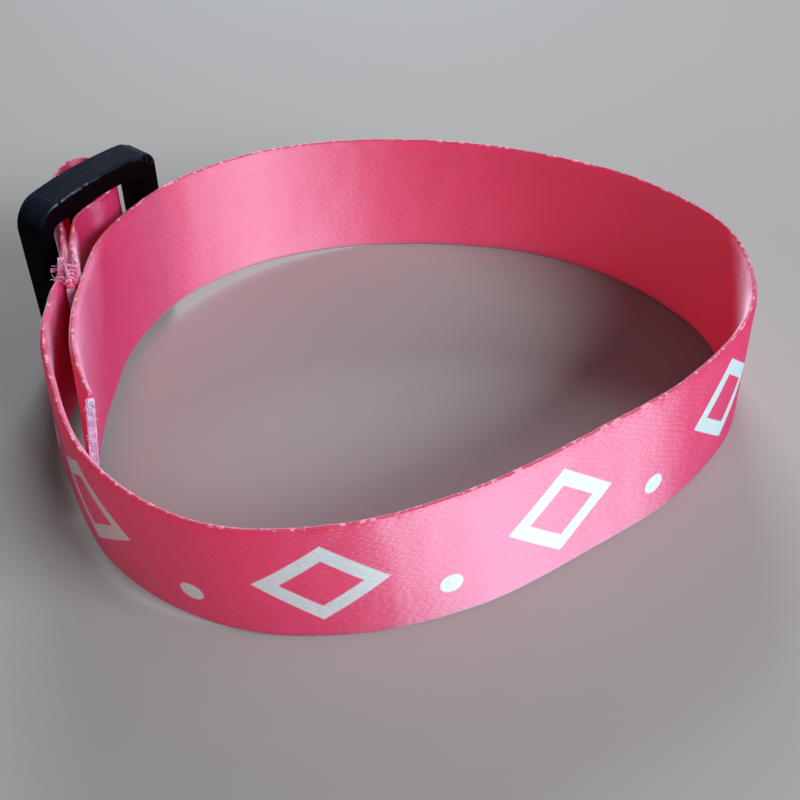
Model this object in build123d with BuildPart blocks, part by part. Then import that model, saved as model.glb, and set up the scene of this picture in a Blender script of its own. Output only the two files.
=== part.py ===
from build123d import *
import os
from math import cos, radians, sin, sqrt

# A wrist band of printed satin ribbon with a slide buckle, standing on its edge. One ribbon makes it
# all: its folded end is sewn down, the tab goes round the buckle's middle bar, and from the sewing the
# ribbon runs once round the wrist and on inside itself to a free cut end.
# Millimetres, +Z up, the origin under the middle of the band's outline.

os.makedirs("parts", exist_ok=True)

# ribbon
ribbon_width = 15.0
ribbon_thickness = 1.0
# the ring that the ribbon makes, seen from above: across X and across Y
ring_x = 70.0
ring_y = 58.0
# buckle: length, height, depth at its ends, and how far its front and back bow out of the ring
buckle_length = 16.2
buckle_height = 20.0
buckle_depth = 3.9
front_bow = 1.0
back_bow = 1.0
buckle_turn = 53.0
# the corners of its outline are rounder at its left end than at its right end
left_corner = 3.0
right_corner = 1.5
# its two slots are a little longer than the ribbon is wide; the rest of its height is their rails
slot_gap = 0.35
slot_height = ribbon_width + 2 * slot_gap
rail = (buckle_height - slot_height) / 2
slot_corner = 0.8
# the bars at its ends, and the middle bar that the tab is folded over
end_bar = 1.9
middle_bar = 1.9
middle_bar_depth = 2.6
# rounding of its rims, and the step that runs round it, behind its front
outer_round = 0.4
step = 0.2
step_from = 3.3
# x and y of the buckle's left foot, as shares of the ring
buckle_foot = (-0.5207, 0.0966)
# spacing of the ribbon's sections, along the tab and along the ring
tab_step = 1.5
ring_step = 3.5
# sewn tack through both layers of the fold
tack_length = 2.0
tack_margin = 0.6

# The tab lies in the slots, clear of the rails.
tab_lift = rail + slot_gap

# The tab, from the folded end round the middle bar and back to the sewing.
# along: share of the buckle's length, out: share of its depth towards the outside of the ring,
# lean: how far the top edge stands off the bottom edge, to the right of the way it runs,
# as a share of the width
tab_rows = [
    # along, out, lean
    (-0.158, -1.632, 0.040),
    (-0.110, -1.477, 0.040),
    (-0.039, -1.232, 0.037),
    (0.010, -1.046, 0.030),
    (0.060, -0.797, 0.024),
    (0.144, -0.490, 0.012),
    (0.197, -0.274, 0.005),
    (0.295, 0.101, 0.000),
    (0.411, 0.244, 0.000),
    (0.565, 0.269, 0.000),
    (0.689, 0.462, 0.000),
    (0.765, 0.846, 0.000),
    (0.811, 1.256, 0.000),
    (0.830, 1.692, 0.000),
    (0.805, 2.103, 0.000),
    (0.725, 2.295, 0.000),
    (0.595, 2.179, 0.000),
    (0.466, 1.821, 0.000),
    (0.330, 1.205, 0.000),
    (0.231, 0.480, 0.000),
    (0.160, 0.000, 0.000),
    (0.093, -0.267, -0.010),
    (-0.008, -0.670, -0.024),
    (-0.088, -0.986, -0.034),
    (-0.154, -1.240, -0.040),
]

# The ring, from the sewing round the front, the right and the back.
# x, y: shares of the ring, lean: share of the width, lift: share of the tab's lift
ring_rows = [
    # x, y, lean, lift
    (-0.4913, -0.0288, -0.048, 1.02),
    (-0.4950, -0.1172, -0.073, 1.08),
    (-0.4513, -0.2502, -0.017, 0.80),
    (-0.3820, -0.3823, 0.033, 0.50),
    (-0.2419, -0.4815, 0.072, 0.10),
    (-0.0745, -0.4985, 0.008, 0.000),
    (0.0835, -0.4483, -0.063, 0.000),
    (0.2407, -0.3360, -0.080, 0.000),
    (0.3879, -0.2007, -0.074, 0.000),
    (0.4874, -0.0220, -0.039, 0.000),
    (0.4854, 0.1840, -0.007, 0.000),
    (0.3921, 0.3477, -0.050, 0.000),
    (0.2510, 0.4571, -0.095, 0.000),
    (0.0882, 0.5010, -0.061, 0.000),
    (-0.0787, 0.4947, -0.023, 0.06),
    (-0.2348, 0.4335, 0.003, 0.24),
]

# Where it passes inside the buckle.
# along: share of the buckle's length, clear: room between the ribbon's top edge and the buckle's
# inner side, in thicknesses of the ribbon
pass_rows = [
    # along, clear, lean, lift
    (0.993, 0.61, 0.026, 0.44),
    (0.287, 2.64, 0.056, 0.56),
    (-0.031, 6.70, 0.040, 0.80),
]

# On inside the first turn to the free end.
tail_rows = [
    # x, y, lean, lift
    (-0.4388, -0.0926, 0.007, 0.95),
    (-0.4369, -0.1758, -0.033, 0.97),
    (-0.4318, -0.2273, -0.064, 0.95),
    (-0.4160, -0.2865, -0.092, 0.92),
]

# buckle frame of reference: e runs along it, o points out of the ring
foot = (buckle_foot[0] * ring_x, buckle_foot[1] * ring_y)
e = (cos(radians(buckle_turn)), sin(radians(buckle_turn)))
o = (-e[1], e[0])


def in_ring(along, out):
    """A point given along and out of the buckle, in the ring's plane."""
    return (foot[0] + along * e[0] + out * o[0], foot[1] + along * e[1] + out * o[1])


def ribbon_rows():
    """x, y, lean and lift of every row of the tables, in mm, from the folded end to the free end."""
    rows = []
    for along, out, lean in tab_rows:
        rows.append((*in_ring(along * buckle_length, out * buckle_depth), lean * ribbon_width, tab_lift))
    for x, y, lean, lift in ring_rows:
        rows.append((x * ring_x, y * ring_y, lean * ribbon_width, lift * tab_lift))
    for along, clear, lean, lift in pass_rows:
        out = -(clear + 0.5) * ribbon_thickness - lean * ribbon_width
        rows.append((*in_ring(along * buckle_length, out), lean * ribbon_width, lift * tab_lift))
    for x, y, lean, lift in tail_rows:
        rows.append((x * ring_x, y * ring_y, lean * ribbon_width, lift * tab_lift))
    return rows


def smooth(rows, knots, at):
    """A smooth curve through the rows: its value and its slope at one length along them."""
    i = max(k for k in range(len(rows) - 1) if knots[k] <= at or k == 0)

    def slope(k, c):
        if k == 0 or k == len(rows) - 1:
            j = max(k - 1, 0)
            return (rows[j + 1][c] - rows[j][c]) / (knots[j + 1] - knots[j])
        before, after = knots[k] - knots[k - 1], knots[k + 1] - knots[k]
        s0 = (rows[k][c] - rows[k - 1][c]) / before
        s1 = (rows[k + 1][c] - rows[k][c]) / after
        return (s0 * after + s1 * before) / (before + after)

    h = knots[i + 1] - knots[i]
    t = (at - knots[i]) / h
    value, rate = [], []
    for c in range(len(rows[0])):
        p0, p1, m0, m1 = rows[i][c], rows[i + 1][c], slope(i, c) * h, slope(i + 1, c) * h
        a, b = 2 * p0 - 2 * p1 + m0 + m1, 3 * p1 - 3 * p0 - 2 * m0 - m1
        value.append(((a * t + b) * t + m0) * t + p0)
        rate.append(((3 * a * t + 2 * b) * t + m0) / h)
    return value, rate


def stations():
    """Sections of the ribbon: foot point, direction, lean and lift."""
    rows = ribbon_rows()
    knots = [0.0]
    for p, q in zip(rows, rows[1:]):
        knots.append(knots[-1] + sqrt((q[0] - p[0]) ** 2 + (q[1] - p[1]) ** 2))
    seam = knots[len(tab_rows) - 1]
    found = []
    for start, end, step in ((0.0, seam, tab_step), (seam, knots[-1], ring_step)):
        count = max(2, round((end - start) / step))
        found += [start + (end - start) * k / count for k in range(count)]
    found.append(knots[-1])
    out = []
    for at in found:
        (x, y, lean, lift), (dx, dy, _, _) = smooth(rows, knots, at)
        size = sqrt(dx * dx + dy * dy)
        out.append(((x, y), (dx / size, dy / size), lean, max(lift, 0.0)))
    return out, seam


def buckle_outline(inset, mode=Mode.ADD):
    """The buckle's outline seen along its depth, or one that lies inside it by the inset."""
    left, right, low, high = inset, buckle_length - inset, inset, buckle_height - inset
    with BuildSketch(Plane.XY, mode=Mode.PRIVATE) as shape:
        with Locations(((left + right) / 2, (low + high) / 2)):
            Rectangle(right - left, high - low)
        fillet(shape.vertices().group_by(Axis.X)[0], left_corner - inset)
        fillet(shape.vertices().group_by(Axis.X)[-1], right_corner - inset)
    add(shape.sketch, mode=mode)


places, tab_length = stations()

with BuildPart() as band:
    # the ribbon, each section a slice across it with level edges
    for (x, y), (dx, dy), lean, lift in places:
        half, rise = ribbon_thickness / 2, sqrt(ribbon_width ** 2 - lean ** 2)
        with BuildSketch(Plane(origin=(x, y, lift), x_dir=(dy, -dx, 0), z_dir=(-dx, -dy, 0))):
            with BuildLine():
                Polyline((-half, 0), (half, 0), (lean + half, rise), (lean - half, rise), close=True)
            make_face()
    loft(ruled=True)
    # the tack, a short block that bridges the two layers of the fold
    rows = ribbon_rows()
    (x0, y0, _, _), (x1, _, lean, _) = rows[1], rows[len(tab_rows) - 1]
    half, low, high = (x0 - x1) / 2, tack_margin, ribbon_width - tack_margin
    shift = lean / ribbon_width
    with BuildSketch(Plane(origin=((x0 + x1) / 2, y0, tab_lift), x_dir=(-1, 0, 0), z_dir=(0, 1, 0))):
        with BuildLine():
            Polyline(
                (-half + low * shift, low),
                (half + low * shift, low),
                (half + high * shift, high),
                (-half + high * shift, high),
                close=True,
            )
        make_face()
    extrude(amount=tack_length / 2, both=True)

with BuildPart() as buckle:
    ground = Plane(origin=(*foot, 0), x_dir=(*e, 0), z_dir=(0, 0, 1))
    face = Plane(origin=(*foot, 0), x_dir=(*e, 0), z_dir=(-o[0], -o[1], 0))
    middle = buckle_length / 2
    # the bowed bar seen from above
    with BuildSketch(ground):
        with BuildLine():
            ThreePointArc((0, 0), (middle, front_bow), (buckle_length, 0))
            Line((buckle_length, 0), (buckle_length, buckle_depth))
            ThreePointArc((buckle_length, buckle_depth), (middle, buckle_depth + back_bow), (0, buckle_depth))
            Line((0, buckle_depth), (0, 0))
        make_face()
    extrude(amount=buckle_height)
    # its outline seen along the depth
    with BuildSketch(face):
        buckle_outline(0.0)
    extrude(amount=buckle_depth * 4, both=True, mode=Mode.INTERSECT)
    # rims rounded all the way round, front and back
    rims = buckle.edges().filter_by(lambda edge: edge.length > 1.2 * buckle_depth)
    fillet(rims, outer_round)
    # a shallow step runs round the outside, so that the back of the frame is a little smaller
    with BuildSketch(face.offset(-step_from)):
        with Locations((middle, buckle_height / 2)):
            Rectangle(buckle_length * 2, buckle_height * 2)
        buckle_outline(step, Mode.SUBTRACT)
    extrude(amount=-buckle_depth * 4, mode=Mode.SUBTRACT)
    # two slots, one on each side of the middle bar
    slot = (buckle_length - 2 * end_bar - middle_bar) / 2
    with BuildSketch(face):
        with Locations(*[(middle + side * (slot + middle_bar) / 2, buckle_height / 2) for side in (-1, 1)]):
            RectangleRounded(slot, slot_height, slot_corner)
    extrude(amount=buckle_depth * 4, both=True, mode=Mode.SUBTRACT)
    # the middle bar is thinner than the frame, and its front lies further back
    with BuildSketch(ground.offset(rail)):
        with Locations((middle, front_bow + buckle_depth - middle_bar_depth)):
            Rectangle(middle_bar * 2, buckle_depth, align=(Align.CENTER, Align.MAX))
    extrude(amount=slot_height, mode=Mode.SUBTRACT)

# both pieces move together so that the origin lies under the middle of their outline
whole = band.part.bounding_box().add(buckle.part.bounding_box())
centre = Location((-(whole.min.X + whole.max.X) / 2, -(whole.min.Y + whole.max.Y) / 2, -whole.min.Z))
print("moved by", centre.position)
for name, piece in (("band", band), ("buckle", buckle)):
    solid = piece.part.moved(centre)
    solid.label = name
    export_step(solid, f"parts/{name}.step")
    print(name, "volume", round(solid.volume, 1), "mm3")
length = sum(
    sqrt((q[0][0] - p[0][0]) ** 2 + (q[0][1] - p[0][1]) ** 2) for p, q in zip(places, places[1:])
)
print("ribbon length", round(length, 1), "of which the tab", round(tab_length, 1))
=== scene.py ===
import math

import bpy
import numpy as np
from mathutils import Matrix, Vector, noise


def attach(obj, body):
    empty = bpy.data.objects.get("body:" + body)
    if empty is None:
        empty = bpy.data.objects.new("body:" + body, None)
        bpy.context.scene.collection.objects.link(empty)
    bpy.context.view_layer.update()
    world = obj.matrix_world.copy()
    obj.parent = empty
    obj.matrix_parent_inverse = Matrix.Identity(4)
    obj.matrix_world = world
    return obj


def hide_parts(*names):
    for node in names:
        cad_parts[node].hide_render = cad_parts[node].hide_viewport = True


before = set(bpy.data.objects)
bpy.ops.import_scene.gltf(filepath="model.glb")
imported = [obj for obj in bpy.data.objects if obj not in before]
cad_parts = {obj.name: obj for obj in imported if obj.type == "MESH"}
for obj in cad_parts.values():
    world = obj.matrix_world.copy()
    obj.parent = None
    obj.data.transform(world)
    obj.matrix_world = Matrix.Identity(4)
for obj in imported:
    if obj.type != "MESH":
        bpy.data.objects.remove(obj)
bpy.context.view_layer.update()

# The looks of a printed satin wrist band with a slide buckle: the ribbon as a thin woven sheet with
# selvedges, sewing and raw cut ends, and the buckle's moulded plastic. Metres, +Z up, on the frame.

MM = 0.001

# Sizes of the real thing, as in the part's own source.
ribbon_width = 15.0 * MM
cad_thickness = 1.0 * MM
ring_x = 70.0 * MM
ring_y = 58.0 * MM
buckle_length = 16.2 * MM
buckle_depth = 3.9 * MM
buckle_height = 20.0 * MM
buckle_bow = 1.0 * MM
buckle_corner = 3.0 * MM
buckle_turn = math.radians(53.0)
buckle_foot = (-0.5207, 0.0966)
tab_lift = (buckle_height - ribbon_width) / 2
# from the ring's own centre to the part's origin
origin_shift = (2.058 * MM, 0.211 * MM)
# the way along the buckle, and its left foot
buckle_way = (math.cos(buckle_turn), math.sin(buckle_turn))
buckle_at = (buckle_foot[0] * ring_x + origin_shift[0], buckle_foot[1] * ring_y + origin_shift[1])

# The cloth as it shows. Its mesh: the step along it, the rows across each face and round each edge.
cloth_thickness = 0.8 * MM
cloth_half = cloth_thickness / 2
along_step = 0.42 * MM
across_count = 34
edge_count = 4
# it thins towards its edges, which are rounded by a share of their thickness
edge_taper = 0.55 * MM
edge_thinness = 0.58
edge_round = 0.6
# how far it is uneven to the side and at its edges, and the waves of that to a metre
ripple = 0.10 * MM
edge_ripple = 0.09 * MM
broad_waves = (130, 60)
small_waves = (420, 200)
small_share = 0.35
edge_waves = 520

# The yarn that shows along both edges, and its swing from side to side.
yarn_step = 0.20 * MM
yarn_period = 1.15 * MM
yarn_swing = 0.12 * MM
# its rise and fall, and its radius, each with an even and an uneven part, in millimetres
yarn_lift = (0.05, 0.07)
yarn_radius = (0.085, 0.04)
# the waves to a metre of its drift and of its unevenness
yarn_waves = (160, 900)

# The sewn tack: its place along the folded end and along the layer beside it.
tack_at = (1.5 * MM, 46.6 * MM)
tack_half = 0.8 * MM
stitch_pitch = 0.5 * MM
sewing_radius = 0.10 * MM
# the loose threads at its top
standing_fibres = 110
bundle_threads = 8

# The fray of each cut end: the pitch of the warp yarns across the cloth, their layers through it, and
# the count of loose fibres.
warp_pitch = 0.17 * MM
warp_layers = 5
loose_fibres = 120

# The rest is in the millimetres that the materials work in.
# Weave: width and length of a float, and how far each row is set off from the one beside it, as a
# share of that length.
float_pitch = 0.34
float_length = 1.05
float_stagger = 0.37
float_wander = 1.6

# The print: outlined diamonds and dots in turn, with the heights of their middles.
print_pitch = 11.4
print_from = 69.85
print_soft = 0.09
diamond_half = (4.7, 4.1)
diamond_height = 7.9
stroke = 1.5
dot_radius = 1.10
dot_height = 4.6

# The deeper-coloured border of the cloth, from its middle, and the dull strip along its bottom edge.
border_from = (7.30, 7.60)
dull_strip = (0.15, 0.55)

# The buckle's rounded rim, and a nick on its top: its place along and behind the front, and its size.
rim_round = 0.4
nick_at = (12.6, 2.9)
nick_size = (0.55, 0.28)

# Colours, linear.
coral = (0.98, 0.020, 0.165, 1.0)
coral_deep = (0.92, 0.010, 0.115, 1.0)
# the crowns' pale colour is a painted highlight, the dips' dark one a painted shade
coral_crown_highlight = (1.0, 0.13, 0.33, 1.0)
coral_dip_shade = (0.42, 0.010, 0.045, 1.0)
coral_border = (0.60, 0.010, 0.060, 1.0)
satin_tint = (0.76, 0.80, 1.0, 1.0)
white_ink = (0.64, 0.95, 1.0, 1.0)
plastic_side = ((0.0020, 0.0012, 0.0017, 1.0), (0.0052, 0.0026, 0.0042, 1.0))
# the top's colour is painted lighter and bluer, as lit from above
plastic_top_painted_light = ((0.0062, 0.0090, 0.0160, 1.0), (0.0125, 0.0180, 0.0300, 1.0))
# the rim's pale colour is a painted highlight; the nick and specks are wear
plastic_wear_and_rim_highlight = (0.20, 0.22, 0.26, 1.0)
plastic_tint = (0.62, 0.84, 1.0, 1.0)
floor_tones = ((0.385, 0.375, 0.36, 1.0), (0.425, 0.415, 0.40, 1.0))

# The tab. along: share of the buckle's length, out: share of its depth, lean: share of the width.
tab_rows = [
    # along, out, lean
    (-0.194, -1.731, 0.040),
    (-0.116, -1.473, 0.040),
    (-0.044, -1.214, 0.037),
    (-0.001, -1.030, 0.030),
    (0.050, -0.758, 0.024),
    (0.133, -0.445, 0.012),
    (0.191, -0.250, 0.005),
    (0.295, 0.101, 0.000),
    (0.411, 0.244, 0.000),
    (0.565, 0.269, 0.000),
    (0.689, 0.462, 0.000),
    (0.765, 0.846, 0.000),
    (0.811, 1.256, 0.000),
    (0.830, 1.692, 0.000),
    (0.805, 2.103, 0.000),
    (0.725, 2.295, 0.000),
    (0.595, 2.179, 0.000),
    (0.466, 1.821, 0.000),
    (0.330, 1.205, 0.000),
    (0.231, 0.480, 0.000),
    (0.160, 0.000, 0.000),
    (0.092, -0.263, -0.010),
    (-0.003, -0.684, -0.024),
    (-0.086, -0.983, -0.034),
    (-0.155, -1.249, -0.040),
]

# The ring. x, y: shares of the ring, lean: share of the width, lift: share of the tab's lift.
ring_rows = [
    # x, y, lean, lift
    (-0.4890, -0.0113, -0.044, 1.02),
    (-0.4915, -0.0286, -0.048, 1.04),
    (-0.4934, -0.0730, -0.062, 1.06),
    (-0.4950, -0.1172, -0.073, 1.08),
    (-0.4513, -0.2502, -0.017, 0.80),
    (-0.3820, -0.3823, 0.033, 0.50),
    (-0.2419, -0.4815, 0.072, 0.10),
    (-0.0745, -0.4985, 0.008, 0.000),
    (0.0835, -0.4483, -0.063, 0.000),
    (0.2407, -0.3360, -0.080, 0.000),
    (0.3879, -0.2007, -0.074, 0.000),
    (0.4874, -0.0220, -0.039, 0.000),
    (0.4854, 0.1840, -0.007, 0.000),
    (0.3921, 0.3477, -0.050, 0.000),
    (0.2510, 0.4571, -0.095, 0.000),
    (0.0882, 0.5010, -0.061, 0.000),
    (-0.0787, 0.4947, -0.023, 0.06),
    (-0.2348, 0.4335, 0.003, 0.24),
]

# Inside the buckle. clear: room between the top edge and the buckle, in thicknesses of the CAD ribbon.
pass_rows = [
    # along, clear, lean, lift
    (0.993, 0.61, 0.026, 0.44),
    (0.286, 2.64, 0.056, 0.56),
    (-0.041, 6.38, 0.040, 0.80),
]

# On to the free end.
tail_rows = [
    # x, y, lean, lift
    (-0.4431, -0.0926, 0.007, 0.95),
    (-0.4390, -0.1763, -0.033, 0.97),
    (-0.4329, -0.2277, -0.073, 0.95),
    (-0.4205, -0.2868, -0.120, 0.92),
]


# The ribbon's route

def ribbon_rows():
    """x, y, lean and lift of every row, from the folded end to the free end."""

    def by_buckle(along, out, lean, lift):
        x = buckle_at[0] + along * buckle_length * buckle_way[0] - out * buckle_way[1]
        y = buckle_at[1] + along * buckle_length * buckle_way[1] + out * buckle_way[0]
        return (x, y, lean * ribbon_width, lift * tab_lift)

    def by_ring(x, y, lean, lift):
        x, y = x * ring_x + origin_shift[0], y * ring_y + origin_shift[1]
        return (x, y, lean * ribbon_width, lift * tab_lift)

    rows = [by_buckle(along, out * buckle_depth, lean, 1.0) for along, out, lean in tab_rows]
    rows += [by_ring(*row) for row in ring_rows]
    for along, clear, lean, lift in pass_rows:
        rows.append(by_buckle(along, -(clear + 0.5) * cad_thickness - lean * ribbon_width, lean, lift))
    return np.array(rows + [by_ring(*row) for row in tail_rows])


def curve_through(rows, step):
    """A smooth curve through the rows: values and slopes at even steps of its length."""
    gaps = np.hypot(*np.diff(rows[:, :2], axis=0).T)
    knots = np.concatenate([[0.0], np.cumsum(gaps)])
    secants = np.diff(rows, axis=0) / gaps[:, None]
    slopes = np.empty_like(rows)
    slopes[0], slopes[-1] = secants[0], secants[-1]
    before, after = gaps[:-1, None], gaps[1:, None]
    slopes[1:-1] = (secants[:-1] * after + secants[1:] * before) / (before + after)
    at = np.linspace(0.0, knots[-1], int(knots[-1] / step) + 1)
    i = np.clip(np.searchsorted(knots, at, side="right") - 1, 0, len(gaps) - 1)
    h = gaps[i, None]
    t = (at - knots[i])[:, None] / h
    p0, p1, m0, m1 = rows[i], rows[i + 1], slopes[i] * h, slopes[i + 1] * h
    a, b = 2 * p0 - 2 * p1 + m0 + m1, 3 * p1 - 3 * p0 - 2 * m0 - m1
    return ((a * t + b) * t + m0) * t + p0, ((3 * a * t + 2 * b) * t + m0) / h


class Route:
    """The ribbon's centre surface: any point of it by length along, height across and offset."""

    def __init__(self, step):
        values, rates = curve_through(ribbon_rows(), step)
        self.foot = values[:, :2]
        self.lean = values[:, 2]
        self.lift = np.maximum(values[:, 3], 0.0)
        size = np.hypot(rates[:, 0], rates[:, 1])
        self.way = rates[:, :2] / size[:, None]
        self.length = np.concatenate([[0.0], np.cumsum(np.hypot(*np.diff(self.foot, axis=0).T))])

    def at(self, along, across, out):
        """Points at lengths along, heights across the width, and offsets to the printed side."""
        along, across, out = np.broadcast_arrays(along, across, out)

        def read(values):
            return np.interp(along, self.length, values)

        way = np.stack([read(self.way[:, 0]), read(self.way[:, 1])], -1)
        way /= np.linalg.norm(way, axis=-1, keepdims=True)
        normal = np.stack([way[..., 1], -way[..., 0]], -1)
        lean = read(self.lean)
        rise = np.sqrt(ribbon_width ** 2 - lean ** 2)
        shift = lean * across / ribbon_width + out
        x = read(self.foot[:, 0]) + normal[..., 0] * shift
        y = read(self.foot[:, 1]) + normal[..., 1] * shift
        return np.stack([x, y, read(self.lift) + rise * across / ribbon_width], -1)


route = Route(along_step)
ribbon_length = float(route.length[-1])


# Meshes

def new_piece(name, points, faces, materials, picks=None, uv=None):
    """A smooth-shaded mesh object; picks gives each face its material, uv each vertex its place."""
    mesh = bpy.data.meshes.new(name)
    mesh.from_pydata([tuple(p) for p in points], [], faces)
    for material in materials:
        mesh.materials.append(material)
    if picks is not None:
        mesh.polygons.foreach_set("material_index", picks)
    if uv is not None:
        layer = mesh.uv_layers.new(name="ribbon")
        corners = np.empty(len(mesh.loops), dtype=np.int64)
        mesh.loops.foreach_get("vertex_index", corners)
        layer.data.foreach_set("uv", np.asarray(uv, dtype=np.float32)[corners].ravel())
    mesh.polygons.foreach_set("use_smooth", [True] * len(mesh.polygons))
    mesh.update()
    piece = bpy.data.objects.new(name, mesh)
    bpy.context.scene.collection.objects.link(piece)
    return piece


def unit(vector):
    """The same direction with length 1."""
    return vector / np.linalg.norm(vector)


def tube(points, radius, sides=6):
    """Vertices and faces of a round tube along the points, closed at both ends."""
    points = np.asarray(points, float)
    radius = np.broadcast_to(radius, len(points))
    ways = np.gradient(points, axis=0)
    ways /= np.linalg.norm(ways, axis=1, keepdims=True)
    # the first side is square to the way and to a direction that no tube here follows
    side = np.cross(ways[0], (0.31, 0.52, 0.79))
    vertices = []
    for point, way, r in zip(points, ways, radius):
        side = unit(side - way * np.dot(side, way))
        other = np.cross(way, side)
        for k in range(sides):
            a = 2 * math.pi * k / sides
            vertices.append(point + r * (math.cos(a) * side + math.sin(a) * other))
    faces = []
    for i in range(len(points) - 1):
        for k in range(sides):
            j = (k + 1) % sides
            faces.append((i * sides + k, i * sides + j, (i + 1) * sides + j, (i + 1) * sides + k))
    last = (len(points) - 1) * sides
    faces.append(tuple(reversed(range(sides))))
    faces.append(tuple(last + k for k in range(sides)))
    return vertices, faces


def strand(points, steps):
    """A smooth line through a few points, with some steps from each to the next."""
    p = np.asarray(points, float)
    p = np.vstack([2 * p[0] - p[1], p, 2 * p[-1] - p[-2]])
    line = []
    for k in range(1, len(p) - 2):
        bend = 2 * p[k - 1] - 5 * p[k] + 4 * p[k + 1] - p[k + 2]
        turn = 3 * p[k] - p[k - 1] - 3 * p[k + 1] + p[k + 2]
        for t in np.arange(steps) / steps:
            line.append(0.5 * (2 * p[k] + (p[k + 1] - p[k - 1]) * t + bend * t ** 2 + turn * t ** 3))
    line.append(p[-2])
    return np.array(line)


def joined(parts):
    """Several (vertices, faces) as one."""
    vertices, faces = [], []
    for some, around in parts:
        base = len(vertices)
        vertices += list(some)
        faces += [tuple(base + k for k in face) for face in around]
    return vertices, faces


def smooth_noise(x, y, z):
    """Noise between about -1 and 1 at each of the places."""
    return np.array([noise.noise(Vector(place)) for place in np.broadcast(x, y, z)])


# Materials

class Graph:
    """A new material with its shader. A call for a node gives back its output."""

    def __init__(self, name):
        self.material = bpy.data.materials.new(name)
        self.material.use_nodes = True
        self.tree = self.material.node_tree
        self.shader = self.tree.nodes["Principled BSDF"]

    def feed(self, target, value):
        """Links a node's output to the target, or sets the target to a constant."""
        if isinstance(value, bpy.types.NodeSocket):
            self.tree.links.new(value, target)
        else:
            target.default_value = value

    def shade(self, inputs):
        """Gives the shader its inputs; gives back the material."""
        for name, value in inputs.items():
            self.feed(self.shader.inputs[name], value)
        return self.material

    def node(self, kind, output, inputs=None, **settings):
        """Any node, by its kind and the name of its output."""
        made = self.tree.nodes.new("ShaderNode" + kind)
        for name, value in settings.items():
            setattr(made, name, value)
        for name, value in (inputs or {}).items():
            self.feed(made.inputs[name], value)
        return made.outputs[output]

    def maths(self, operation, *values):
        return self.node("Math", 0, dict(enumerate(values)), operation=operation)

    def plus(self, a, b):
        return self.maths("ADD", a, b)

    def minus(self, a, b):
        return self.maths("SUBTRACT", a, b)

    def times(self, a, b):
        return self.maths("MULTIPLY", a, b)

    def over(self, a, b):
        return self.maths("DIVIDE", a, b)

    def apart(self, a, b):
        return self.maths("ABSOLUTE", self.minus(a, b))

    def squares(self, a, b):
        return self.plus(self.maths("POWER", a, 2.0), self.maths("POWER", b, 2.0))

    def larger(self, a, b):
        return self.maths("MAXIMUM", a, b)

    def ramp(self, value, low, high, start=0.0, end=1.0):
        """start below low, end above high, and a smooth step between."""
        span = {"Value": value, "From Min": low, "From Max": high, "To Min": start, "To Max": end}
        return self.node("MapRange", "Result", span, interpolation_type="SMOOTHSTEP")

    def fall(self, value, low, high):
        """1 below low, 0 above high, and a smooth step between."""
        return self.ramp(value, low, high, 1.0, 0.0)

    def mixed(self, factor, first, second):
        """A colour between two."""
        return self.node("Mix", 2, {"Factor": factor, 6: first, 7: second}, data_type="RGBA")

    def parts(self, vector):
        """The X, Y and Z of a vector."""
        split = self.node("SeparateXYZ", "X", {"Vector": vector}).node
        return [split.outputs[axis] for axis in "XYZ"]

    def ribbon_place(self):
        """Millimetres along and across the ribbon."""
        return self.parts(self.node("UVMap", "UV", uv_map="ribbon"))[:2]

    def object_place(self):
        """Metres in the object's own frame."""
        return self.node("TexCoord", "Object")

    def speckle(self, scale, detail, distortion=0.0):
        """Noise with the same scale all ways, in waves to a metre."""
        look = {"Scale": scale, "Detail": detail, "Distortion": distortion}
        return self.node("TexNoise", "Fac", {"Vector": self.object_place(), **look})

    def grain(self, u, v, scale_u, scale_v, detail=2.0):
        """Noise with its own scale along and across."""
        scaled = {"X": self.times(u, scale_u), "Y": self.times(v, scale_v)}
        place = {"Vector": self.node("CombineXYZ", "Vector", scaled), "Scale": 1.0, "Detail": detail}
        return self.node("TexNoise", "Fac", place)

    def bump(self, height, strength, distance):
        """The surface's normal with a relief."""
        relief = {"Height": height, "Strength": strength, "Distance": distance}
        return self.node("Bump", "Normal", relief)


def satin_floats(graph, u, v):
    """The satin floats: their relief, the dips between their ends that take a painted shade, and their
    crowns that take a painted highlight.
    """
    column = graph.over(v, float_pitch)
    index = graph.maths("FLOOR", column)
    across = graph.apart(graph.maths("FRACT", column), 0.5)
    # each row starts at its own place, and the rows drift a little
    uneven = graph.node("TexWhiteNoise", "Value", {"W": index}, noise_dimensions="1D")
    stagger = graph.plus(graph.times(index, float_stagger), uneven)
    drift = graph.times(graph.grain(u, v, 0.6, 1.2), float_wander)
    run = graph.plus(graph.over(u, float_length), graph.plus(stagger, drift))
    phase = graph.apart(graph.maths("FRACT", run), 0.5)
    dip = graph.times(graph.fall(phase, 0.15, 0.36), graph.fall(across, 0.0, 0.22))
    crown = graph.times(graph.ramp(phase, 0.20, 0.42), graph.fall(across, 0.03, 0.30))
    return graph.minus(crown, dip), dip, crown


def print_mask(graph, u, v):
    """1 on the printed diamonds and dots, 0 off them."""
    run = graph.plus(graph.minus(u, print_from), print_pitch)
    x = graph.apart(graph.maths("FLOORED_MODULO", run, 2 * print_pitch), print_pitch)
    y = graph.apart(v, diamond_height)
    wide, high = diamond_half
    slant = graph.minus(graph.plus(graph.over(x, wide), graph.over(y, high)), 1.0)
    from_line = graph.maths("ABSOLUTE", graph.times(slant, wide * high / math.hypot(wide, high)))
    diamond = graph.minus(from_line, stroke / 2)
    from_dot = graph.squares(graph.minus(x, print_pitch), graph.minus(v, dot_height))
    dot = graph.minus(graph.maths("SQRT", from_dot), dot_radius)
    return graph.fall(graph.maths("MINIMUM", diamond, dot), -print_soft, print_soft)


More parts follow.
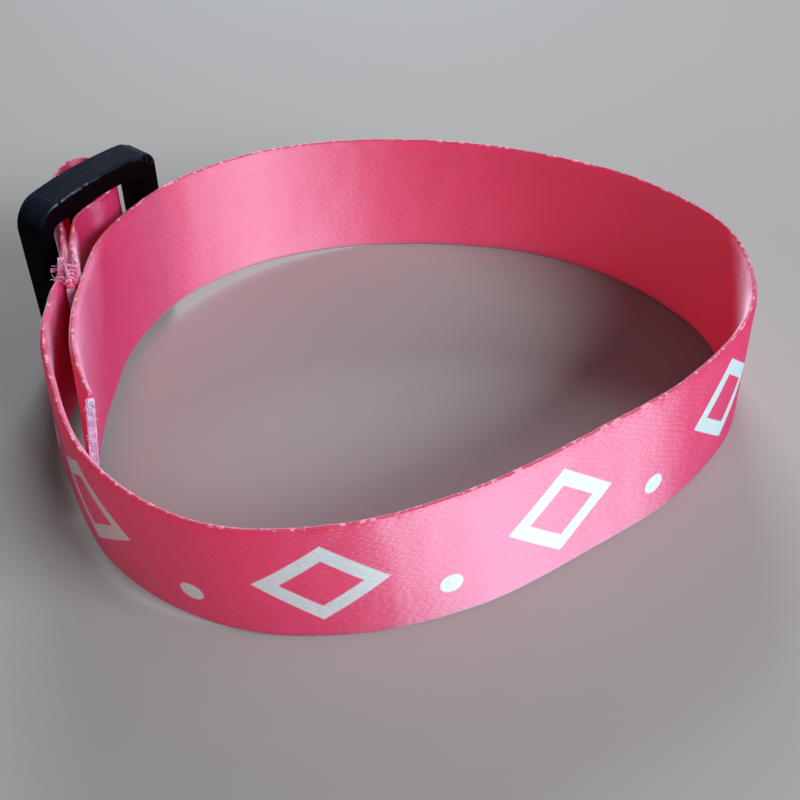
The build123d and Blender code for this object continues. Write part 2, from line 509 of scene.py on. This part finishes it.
def satin(name, printed, dash, weave_depth, roughness, stretch, shine):
    """Satin ribbon cloth. dash: how strong the painted shade in the floats' dips and the painted
    highlight on their crowns are.
    """
    graph = Graph(name)
    u, v = graph.ribbon_place()
    height, dip, crown = satin_floats(graph, u, v)
    streaks = graph.grain(u, v, 0.22, 4.5, 3.0)
    patches = graph.grain(u, v, 0.09, 0.22)
    # deeper in streaks and patches, and a painted highlight on the float crowns
    dye_and_painted_light = graph.mixed(graph.ramp(streaks, 0.30, 0.72), coral_deep, coral)
    dye_and_painted_light = graph.mixed(graph.ramp(patches, 0.25, 0.8, 0.0, 0.35), dye_and_painted_light, coral)
    dye_and_painted_light = graph.mixed(graph.times(crown, dash), dye_and_painted_light, coral_crown_highlight)
    shadow = graph.times(dip, dash)
    if printed:
        # the ink covers most of the weave, and is thinner in streaks
        ink = print_mask(graph, u, v)
        shadow = graph.times(shadow, graph.minus(1.0, graph.times(ink, 0.8)))
        dye_and_painted_light = graph.mixed(graph.times(ink, graph.ramp(streaks, 0.15, 0.45, 0.86, 1.0)), dye_and_painted_light, white_ink)
    # painted shade in the dips between the floats' ends
    dye_and_painted_light = graph.mixed(shadow, dye_and_painted_light, coral_dip_shade)
    # the cloth is a little deeper in colour near both edges
    off_middle = graph.apart(v, ribbon_width / MM / 2)
    border = graph.ramp(graph.plus(off_middle, graph.times(streaks, 0.25)), *border_from)
    dye_and_painted_light = graph.mixed(graph.times(border, 0.5), dye_and_painted_light, coral_border)
    # duller in the dips and along the bottom edge
    dull = graph.larger(graph.times(dip, 0.5 * dash), graph.ramp(v, *dull_strip, 0.3, 0.0))
    rough = graph.ramp(streaks, 0.2, 0.8, roughness - 0.05, roughness + 0.07)
    fibres = graph.grain(u, v, 0.9, 2.7, 1.0)
    return graph.shade({
        "Base Color": dye_and_painted_light,
        "Normal": graph.bump(graph.plus(height, fibres), weave_depth, 0.06 * MM),
        "Tangent": graph.node("Tangent", "Tangent", direction_type="UV_MAP", uv_map="ribbon"),
        "Roughness": graph.plus(rough, dull),
        "Anisotropic": stretch,
        "Anisotropic Rotation": 0.25,
        "IOR": 2.45,
        "Specular IOR Level": shine,
        "Specular Tint": satin_tint,
        # light from outside glows through the thin cloth
        "Subsurface Weight": 1.0,
        "Subsurface Radius": (1.0, 0.06, 0.10),
        "Subsurface Scale": 3.5 * MM,
    })


def thread(name, colour, light, roughness=0.5, glints=(0.42, 0.66)):
    """Twisted yarn with painted glints: light spots of painted highlight. glints: where the noise turns
    from the colour to the light one.
    """
    graph = Graph(name)
    waves = {"Vector": graph.object_place(), "Scale": 1600.0, "Distortion": 6.0, "Detail": 1.0}
    twist = graph.node("TexWave", "Fac", waves, bands_direction="DIAGONAL")
    return graph.shade({
        # painted glints: light spots of colour on the yarn
        "Base Color": graph.mixed(graph.ramp(graph.speckle(1500.0, 2.0), *glints), colour, light),
        "Normal": graph.bump(twist, 0.5, 0.03 * MM),
        "Roughness": roughness,
        "Sheen Weight": 0.3,
    })


def buckle_place(graph):
    """Millimetres along the buckle, behind its bowed front, up, and in from its rounded outline."""
    x, y, z = graph.parts(graph.object_place())

    def towards(a, b):
        reach = graph.plus(graph.times(x, a / MM), graph.times(y, b / MM))
        return graph.minus(reach, (a * buckle_at[0] + b * buckle_at[1]) / MM)

    along, out = towards(*buckle_way), towards(-buckle_way[1], buckle_way[0])
    up = graph.over(z, MM)
    bow, corner = buckle_bow / MM, buckle_corner / MM
    half_length, half_height = buckle_length / MM / 2, buckle_height / MM / 2
    flat = graph.maths("POWER", graph.over(graph.minus(along, half_length), half_length), 2.0)
    behind = graph.plus(graph.minus(out, bow), graph.times(flat, bow))
    past = [
        graph.larger(graph.minus(graph.apart(value, half), half - corner), 0.0)
        for value, half in ((along, half_length), (up, half_height))
    ]
    inset = graph.minus(corner, graph.maths("SQRT", graph.squares(*past)))
    return along, behind, up, inset


def moulded_plastic(name):
    """Black moulded plastic with painted light: paler and bluer with fine streaks where it faces up, a
    painted highlight along the rim, and scuffs.
    """
    graph = Graph(name)
    fine = graph.speckle(2600.0, 3.0)
    broad = graph.speckle(240.0, 3.0)
    scuff = graph.speckle(900.0, 4.0, 0.6)
    along, behind, up, inset = buckle_place(graph)
    facing_up = graph.parts(graph.node("NewGeometry", "Normal"))[2]
    # painted light: where it faces up it is paler and bluer, as lit from above
    side = graph.mixed(broad, *plastic_side)
    top = graph.mixed(graph.ramp(graph.grain(along, behind, 0.35, 4.5), 0.3, 0.7), *plastic_top_painted_light)
    base = graph.mixed(graph.ramp(facing_up, 0.35, 0.9), side, top)
    # a painted highlight along the front rim, over the left half of the top, in patches
    round_off = graph.minus(graph.minus(rim_round, inset), behind)
    rim_highlight = graph.times(graph.ramp(round_off, 0.125, 0.155), graph.ramp(scuff, 0.42, 0.58))
    rim_highlight = graph.times(rim_highlight, graph.ramp(along, 7.0, 9.5, 0.6, 0.05))
    rim_highlight = graph.times(rim_highlight, graph.ramp(up, 16.6, 18.0))
    # a small nick on the top, and a few specks
    nick_x = graph.over(graph.minus(along, nick_at[0]), nick_size[0])
    nick_y = graph.over(graph.minus(behind, nick_at[1]), nick_size[1])
    nick = graph.fall(graph.squares(nick_x, nick_y), 0.5, 1.2)
    nick = graph.times(graph.times(nick, graph.ramp(scuff, 0.44, 0.56)), 0.6)
    specks = graph.ramp(scuff, 0.78, 0.84, 0.0, 0.25)
    # the nick and specks are wear, the rim is a painted highlight
    wear_and_rim_highlight = graph.larger(rim_highlight, graph.larger(nick, specks))
    return graph.shade({
        "Base Color": graph.mixed(wear_and_rim_highlight, base, plastic_wear_and_rim_highlight),
        "Roughness": graph.ramp(broad, 0.3, 0.7, 0.42, 0.52),
        "IOR": 1.16,
        "Specular IOR Level": 0.06,
        "Specular Tint": plastic_tint,
        "Normal": graph.bump(fine, 0.25, 0.02 * MM),
    })


printed_satin = satin(
    "printed_satin", printed=True, dash=0.20, weave_depth=0.24, roughness=0.60, stretch=0.965, shine=0.94
)
plain_satin = satin(
    "plain_satin", printed=False, dash=0.09, weave_depth=0.16, roughness=0.687, stretch=0.87, shine=1.0
)
selvedge_yarn = thread(
    "selvedge_yarn", (0.66, 0.045, 0.135, 1.0), (0.92, 0.32, 0.44, 1.0), glints=(0.53, 0.64)
)
raw_yarn = thread("raw_yarn", (0.68, 0.43, 0.64, 1.0), (0.84, 0.66, 0.87, 1.0), roughness=0.7)
sewing_yarn = thread("sewing_yarn", (0.72, 0.13, 0.28, 1.0), (0.88, 0.48, 0.66, 1.0))
tuft_yarn = thread("tuft_yarn", (0.74, 0.13, 0.30, 1.0), (0.88, 0.48, 0.68, 1.0), roughness=0.6)


# The ribbon

ribbon_materials = (printed_satin, plain_satin, selvedge_yarn, raw_yarn)
PRINTED, PLAIN, EDGE, RAW = range(4)


def section():
    """Height across and offset of each point round the ribbon's section, from its bottom edge."""
    heights = np.linspace(0.0, ribbon_width, across_count + 1)
    from_edge = np.minimum(heights, ribbon_width - heights)
    share = 1 - edge_thinness * (1 - np.minimum(from_edge / edge_taper, 1.0)) ** 2
    cap = np.linspace(math.pi / 2, -math.pi / 2, edge_count + 2)[1:-1]
    thin = share[0] * cloth_half
    front = [(h, s * cloth_half) for h, s in zip(heights, share)]
    top = [(ribbon_width + thin * math.cos(a) * edge_round, thin * math.sin(a)) for a in cap]
    back = [(h, -s * cloth_half) for h, s in zip(heights[::-1], share[::-1])]
    bottom = [(max(-thin * math.cos(a) * edge_round, 0.0), -thin * math.sin(a)) for a in cap]
    return np.array(front + top + back + bottom)


def ripples(along, across):
    """Small unevenness of the cloth, to the side."""
    broad = smooth_noise(along * broad_waves[0], across * broad_waves[1], 2.0)
    small = smooth_noise(along * small_waves[0], across * small_waves[1], 7.0)
    return ripple * (broad + small_share * small)


def make_ribbon():
    """The ribbon as one closed thin sheet."""
    ring = section()
    stations, around = len(route.length), len(ring)
    along = np.repeat(route.length, around)
    across = np.tile(ring[:, 0], stations)
    out = np.tile(ring[:, 1], stations)
    up = across / ribbon_width
    wavy = smooth_noise(along * edge_waves, 3.0, 5.0 * np.round(up))
    edge = np.abs(2 * up - 1) ** 10
    lifted = across + edge * edge_ripple * np.where(up > 0.5, wavy, np.abs(wavy) * 0.5)
    points = route.at(along, lifted, out + ripples(along, across) * (1 - 0.5 * edge))
    points[:, 2] = np.maximum(points[:, 2], 0.0)
    faces, picks = [], []
    side, turn = across_count, edge_count + 1
    for i in range(stations - 1):
        here, there = i * around, (i + 1) * around
        for k in range(around):
            j = (k + 1) % around
            faces.append((here + k, here + j, there + j, there + k))
        picks += [PRINTED] * side + [EDGE] * turn + [PLAIN] * side + [EDGE] * turn
    # each cut end: faces from one side of the cloth to the other, and one inside each rounded edge
    back_end = 2 * side + turn
    for start, order, pick in ((0, -1, EDGE), ((stations - 1) * around, 1, RAW)):
        for k in range(side):
            a, b = start + k, start + k + 1
            c, d = start + back_end - 1 - k, start + back_end - k
            faces.append((a, b, c, d)[::order])
            picks.append(pick if k < side - 1 else EDGE)
        top = [start + side + k for k in range(turn + 1)]
        bottom = [start + back_end + k for k in range(turn)] + [start]
        for rim in (top, bottom):
            faces.append(tuple(rim)[::order])
            picks.append(EDGE)
    uv = np.stack([along, across], -1) / MM
    return new_piece("ribbon", points, faces, ribbon_materials, picks, uv)


def make_selvedges():
    """The weft yarn that turns back at each edge, as a fine wavy line along it."""
    parts = []
    margin = 0.3 * MM
    along = np.linspace(margin, ribbon_length - margin, int(ribbon_length / yarn_step))
    # the lower one lies almost flat, because the ribbon stands on it
    for height, seed, share in ((ribbon_width, 1.0, 1), (0.13 * MM, 9.0, 0.3)):
        phase = smooth_noise(along * yarn_waves[0], seed, 0.0) * 2.5
        swing = np.sin(2 * math.pi * along / yarn_period + phase)
        lift = np.cos(4 * math.pi * along / yarn_period + 2 * phase)
        uneven = smooth_noise(along * yarn_waves[1], seed, 4.0)
        across = height + (yarn_lift[0] * lift + yarn_lift[1] * uneven) * MM * share
        points = route.at(along, across, yarn_swing * swing)
        radius = (yarn_radius[0] + yarn_radius[1] * uneven) * MM
        points[:, 2] = np.maximum(points[:, 2], radius)
        parts.append(tube(points, radius))
    return new_piece("selvedges", *joined(parts), (selvedge_yarn,))


# Sewing and loose threads

chance = np.random.default_rng(11)


def scatter(size):
    """A small random step in any direction, its size in millimetres."""
    return chance.normal(0.0, size * MM, 3)


def make_stitches():
    """Zigzag sewing through both layers of the fold: the threads on both faces and through the holes."""
    near, far = tack_at
    on_face, in_cloth = cloth_half + 0.06 * MM, cloth_half - 0.12 * MM
    heights = np.arange(0.8 * MM, ribbon_width - 0.4 * MM, stitch_pitch)
    sides = np.where(np.arange(len(heights)) % 2 == 0, -tack_half, tack_half)
    profile = ((0.0, in_cloth), (0.15, on_face), (0.5, on_face), (0.85, on_face), (1.0, in_cloth))
    parts = []
    for middle, sign in ((far, 1), (near, -1)):
        for k in range(len(heights) - 1):
            line = []
            for share, out in profile:
                along = middle + sign * (sides[k] + share * (sides[k + 1] - sides[k]))
                line.append(route.at(along, heights[k] + share * stitch_pitch, out))
            parts.append(tube(strand(line, 3), sewing_radius))
    for side, height in zip(sides, heights):
        line = [route.at(far + side, height, 0.0), route.at(near - side, height, 0.0)]
        parts.append(tube(strand(line, 2), 0.8 * sewing_radius))
    # the last turns go over the top edges of both layers
    below, above, beside = ribbon_width - 0.8 * MM, ribbon_width + 0.10 * MM, 0.7 * cloth_half
    for side in np.linspace(-0.85, 0.85, 4) * MM:
        first = route.at(far + side, ribbon_width, 0.0)
        last = route.at(near - side, ribbon_width, 0.0)
        line = [
            route.at(far + side, below, on_face),
            route.at(far + side, above, beside),
            (first + last) / 2 + (0.0, 0.0, 0.14 * MM) + scatter(0.08),
            route.at(near - side, above, beside),
            route.at(near - side, below, on_face),
        ]
        parts.append(tube(strand(line, 4), 0.9 * sewing_radius))
    return new_piece("stitches", *joined(parts), (sewing_yarn,))


def tangle(centre, reach, turns, start):
    """A fine thread wound up on itself; reach in millimetres along X, Y and Z."""
    t = np.linspace(0.0, 1.0, int(26 * turns))
    rates = ((1.0, 0), (1.37, 1), (0.73, 2))
    waves = [np.sin(2 * math.pi * turns * rate * t + start + shift) for rate, shift in rates]
    swell = 0.55 + 0.45 * np.sin(2 * math.pi * 2.3 * t + start)
    return centre + np.stack(waves, -1) * swell[:, None] * (np.array(reach) * MM)


def make_tufts():
    """Loose ends of the sewing and frayed yarn at the top of the tack."""
    near, far = tack_at
    top = ribbon_width
    between = [route.at(far + 0.3 * MM, top, -cloth_half), route.at(near - 0.3 * MM, top, -cloth_half)]
    tangles = (
        # centre, reach, turns, how much further each one starts
        (sum(between) / 2, (0.30, 0.75, 0.20), 7, 2.0),
        (route.at(3.2 * MM, top + 0.05 * MM, 0.1 * MM), (0.30, 0.45, 0.20), 6, 1.3),
    )
    parts = []
    for k in range(3):
        for centre, reach, turns, further in tangles:
            line = tangle(centre + scatter(0.10), reach, turns, further * k)
            parts.append(tube(line, 0.045 * MM, 5))
    # short lengths that lie along the edges, each a little bowed up
    runs = (
        # start, end, count
        (route.at(far - 1.2 * MM, top, -0.2 * MM), route.at(0.15 * MM, top, -0.1 * MM), 10),
        (route.at(2.1 * MM, top, 0.3 * MM), route.at(4.3 * MM, top, -0.1 * MM), 8),
        (route.at(far + 0.2 * MM, top, 0.2 * MM), route.at(far - 2.6 * MM, top, 0.2 * MM), 5),
    )
    bowed = ((0.0, 0.02), (0.33, 0.22), (0.66, 0.22), (1.0, 0.02))
    for start, end, count in runs:
        for _ in range(count):
            line = [
                start + (end - start) * share + (0, 0, up * MM) + scatter(0.13)
                for share, up in bowed
            ]
            parts.append(tube(strand(line, 4), chance.uniform(0.04, 0.075) * MM, 5))
    # fine fibres that stand up, along the folded end and round the tack
    for _ in range(standing_fibres):
        if chance.random() < 0.5:
            along = chance.uniform(0.0, 4.6) * MM
        else:
            along = far + chance.uniform(-2.2, 1.2) * MM
        start = route.at(along, top, chance.uniform(-1, 1) * cloth_half)
        way = unit(chance.normal(0.0, 1.0, 3) + (0.0, 0.0, 0.8))
        size = chance.uniform(0.25, 0.75) * MM
        line = [start, start + way * size * 0.5 + scatter(0.06), start + way * size + scatter(0.12)]
        parts.append(tube(strand(line, 4), chance.uniform(0.016, 0.030) * MM, 4))
    # the cut end of the sewing thread, a short bundle that points away from the ring
    at = (far - 0.95 * MM, top - 0.30 * MM)
    base = route.at(*at, 0.5 * cloth_half)
    away = unit(route.at(*at, cloth_half) - base)
    for k in range(bundle_threads):
        turn, off = 2.4 * k, 0.060 * MM * math.sqrt(k)
        shift = np.array((0.0, math.cos(turn), math.sin(turn))) * off
        reach = (0.92 + 0.05 * chance.normal()) * MM
        line = [base + shift, base + shift + away * reach * 0.6, base + shift * 1.15 + away * reach]
        parts.append(tube(strand(line, 4), 0.085 * MM))
    return new_piece("tufts", *joined(parts), (tuft_yarn,))


def cut_end(end, inside, height, out):
    """A point of the cut, and the way out of the cloth there. inside: a length short of the end."""
    place = route.at(end, height, out)
    return place, unit(place - route.at(inside, height, out))


def make_fray():
    """Ends of the warp yarns and loose fibres at both cut ends of the ribbon."""
    parts = []
    low, high = 0.3 * MM, ribbon_width - 0.6 * MM
    for end, inside in ((ribbon_length, ribbon_length - 0.5 * MM), (0.0, 0.5 * MM)):
        for height in np.arange(low, high, warp_pitch):
            for out in np.linspace(-0.78, 0.78, warp_layers) * cloth_half:
                place, away = cut_end(end, inside, height, out)
                reach = chance.uniform(0.12, 0.20) * MM
                tip = place + away * reach + scatter(0.03)
                line = [place - away * 0.1 * MM, place + away * reach * 0.5, tip]
                parts.append(tube(strand(line, 2), chance.uniform(0.075, 0.10) * MM, 5))
        for _ in range(loose_fibres):
            height = chance.uniform(low, high)
            out = chance.choice((-1.0, 1.0, 1.0, 1.0)) * cloth_half * chance.uniform(0.5, 1.0)
            place, away = cut_end(end, inside, height, out)
            away = away + chance.normal(0.0, 0.45, 3)
            reach = chance.uniform(0.12, 0.38) * MM
            line = [place, place + away * reach * 0.5, place + away * reach + scatter(0.05)]
            parts.append(tube(strand(line, 3), chance.uniform(0.016, 0.032) * MM, 4))
    vertices, faces = joined(parts)
    vertices = [(x, y, max(z, 0.0)) for x, y, z in vertices]
    return new_piece("fray", vertices, faces, (raw_yarn,))


ribbon = make_ribbon()
selvedges = make_selvedges()
stitches = make_stitches()
tufts = make_tufts()
fray = make_fray()

# The buckle keeps its CAD shape.
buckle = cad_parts["buckle"]
buckle.data.materials.clear()
buckle.data.materials.append(moulded_plastic("black_plastic"))

for piece in (ribbon, selvedges, stitches, tufts, fray):
    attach(piece, "root")
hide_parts("band")


# Floor, light and camera

def pale_floor():
    """A plain pale floor with a faint unevenness of tone."""
    graph = Graph("pale_floor")
    material = graph.shade({
        "Base Color": graph.mixed(graph.speckle(14.0, 3.0), *floor_tones),
        "Roughness": 0.75,
    })
    half = 3.0
    corners = [(-half, -half, 0), (half, -half, 0), (half, half, 0), (-half, half, 0)]
    floor = new_piece("floor", corners, [(0, 1, 2, 3)], (material,))


def area_light(name, place, size, power, colour):
    """A soft rectangular light that looks at the object."""
    light = bpy.data.lights.new(name, "AREA")
    light.shape = "RECTANGLE"
    light.size, light.size_y = size
    light.energy = power
    light.color = colour
    lamp = bpy.data.objects.new(name, light)
    lamp.location = place
    lamp.rotation_euler = (-Vector(place)).to_track_quat("-Z", "Y").to_euler()
    bpy.context.scene.collection.objects.link(lamp)


pale_floor()
area_light("window", (0.501, -0.385, 0.406), size=(0.54, 0.28), power=6.5, colour=(0.90, 0.95, 1.0))
area_light("back_window", (-0.05, 0.74, 0.33), size=(0.30, 0.40), power=5.6, colour=(0.85, 0.92, 1.0))

world = bpy.data.worlds.new("room")
world.use_nodes = True
background = world.node_tree.nodes["Background"]
background.inputs["Color"].default_value = (0.95, 0.84, 0.82, 1.0)
background.inputs["Strength"].default_value = 0.12
bpy.context.scene.world = world
bpy.context.scene.view_settings.view_transform = "Standard"

camera = bpy.data.objects.new("camera", bpy.data.cameras.new("camera"))
camera.data.lens = 54.2
camera.data.sensor_width = 36.0
camera.data.clip_start = 0.005
camera.location = (1.358 * MM, -91.889 * MM, 89.18 * MM)
camera.rotation_euler = (math.radians(46.27), 0.0, 0.0)
bpy.context.scene.collection.objects.link(camera)
bpy.context.scene.camera = camera
